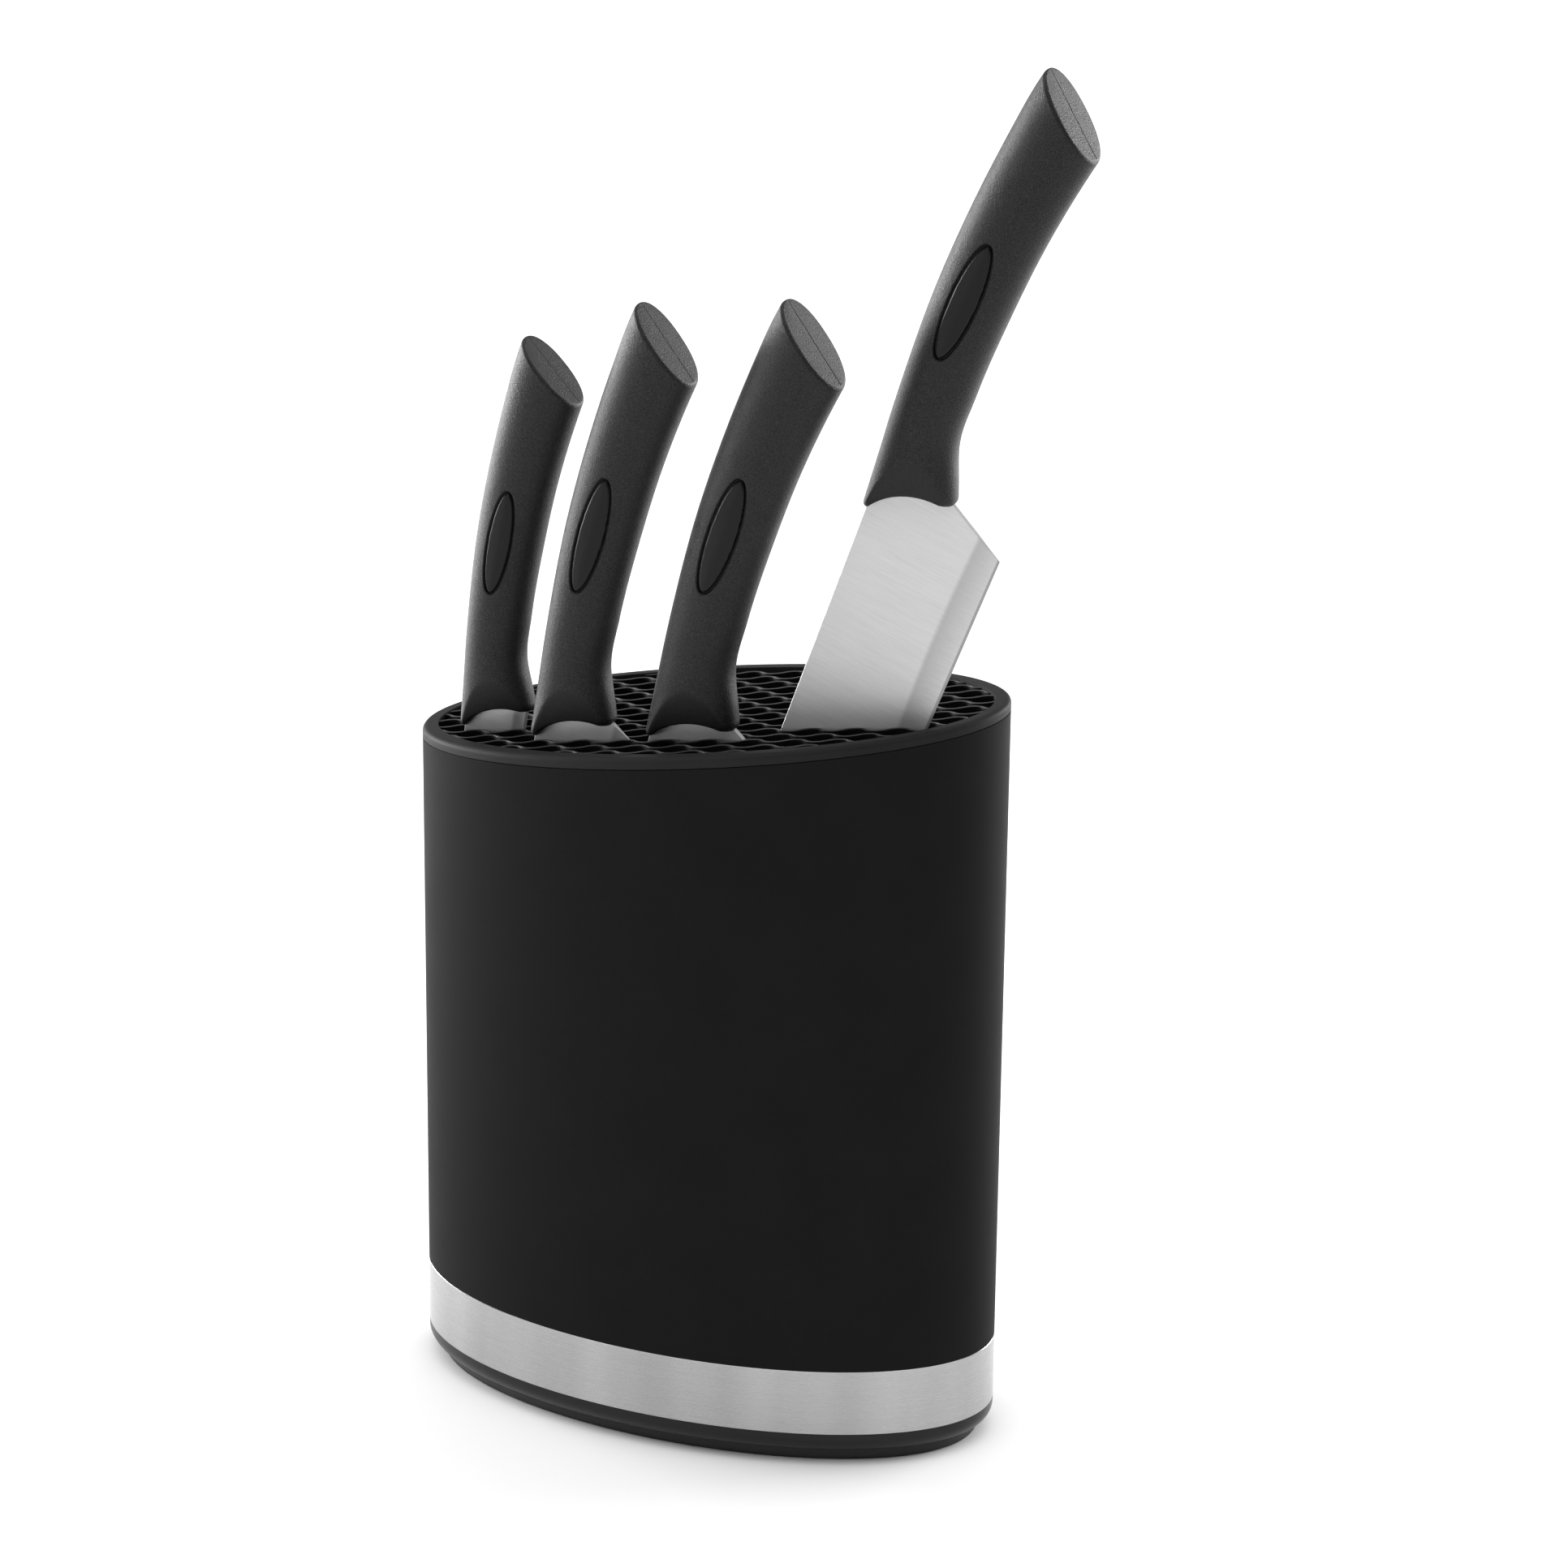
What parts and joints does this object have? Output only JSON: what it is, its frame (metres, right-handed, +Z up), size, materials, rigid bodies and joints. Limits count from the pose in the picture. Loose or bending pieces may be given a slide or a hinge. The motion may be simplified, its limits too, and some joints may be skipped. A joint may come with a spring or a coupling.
{
  "type": "knife block with knives",
  "caption": "Oval counter-top knife block with a slanted top, wavy flexible fins that hold knives at any spot, a steel band at the foot, and kitchen knives with moulded handles.",
  "frame": {"origin": "centre of the block's underside, on the surface it stands on", "axes": "+Z up, +X to the high end of the slanted top, +Y to the back; the knives' cutting edges face +X"},
  "size_m": [0.2048, 0.0948, 0.3994],
  "materials": {
    "shell_plastic": "satin, soft-touch",
    "rim_plastic": "fine matte",
    "fin_plastic": "satin",
    "band_steel": "horizontally brushed",
    "base_plastic": "satin",
    "pad_rubber": "matte",
    "handle_plastic": "fine pebbled grain",
    "blade_steel": "brushed across the blade"
  },
  "bodies": {
    "block": {"body_shell": "shell_plastic", "steel_band": "band_steel", "base_moulding": "base_plastic", "non_slip_pad": "pad_rubber"},
    "insert": {"insert_frame": "rim_plastic", "fin_01": "fin_plastic", "fin_02": "fin_plastic", "fin_03": "fin_plastic", "fin_04": "fin_plastic", "fin_05": "fin_plastic", "fin_06": "fin_plastic", "fin_07": "fin_plastic", "fin_08": "fin_plastic", "fin_09": "fin_plastic", "fin_10": "fin_plastic", "fin_11": "fin_plastic", "fin_12": "fin_plastic", "fin_13": "fin_plastic", "fin_14": "fin_plastic", "fin_15": "fin_plastic", "fin_16": "fin_plastic"},
    "paring_knife": {"paring_blade": "blade_steel", "paring_handle": "handle_plastic"},
    "utility_knife": {"utility_blade": "blade_steel", "utility_handle": "handle_plastic"},
    "santoku_knife": {"santoku_blade": "blade_steel", "santoku_handle": "handle_plastic"},
    "cooks_knife": {"cooks_blade": "blade_steel", "cooks_handle": "handle_plastic"}
  },
  "joints": [
    {"name": "insert_lift", "type": "slide", "parent": "block", "child": "insert", "axis": [0, 0, 1], "range_m": [0, 0.2]},
    {"name": "paring_knife_draw", "type": "slide", "parent": "insert", "child": "paring_knife", "axis": [0.1392, 0, 0.9903], "range_m": [0, 0.1]},
    {"name": "utility_knife_draw", "type": "slide", "parent": "insert", "child": "utility_knife", "axis": [0.2147, 0, 0.9767], "range_m": [0, 0.165]},
    {"name": "santoku_knife_draw", "type": "slide", "parent": "insert", "child": "santoku_knife", "axis": [0.2689, 0, 0.9632], "range_m": [0, 0.195]},
    {"name": "cooks_knife_draw", "type": "slide", "parent": "insert", "child": "cooks_knife", "axis": [0.3453, 0, 0.9385], "range_m": [-0.069, 0.145]}
  ]
}
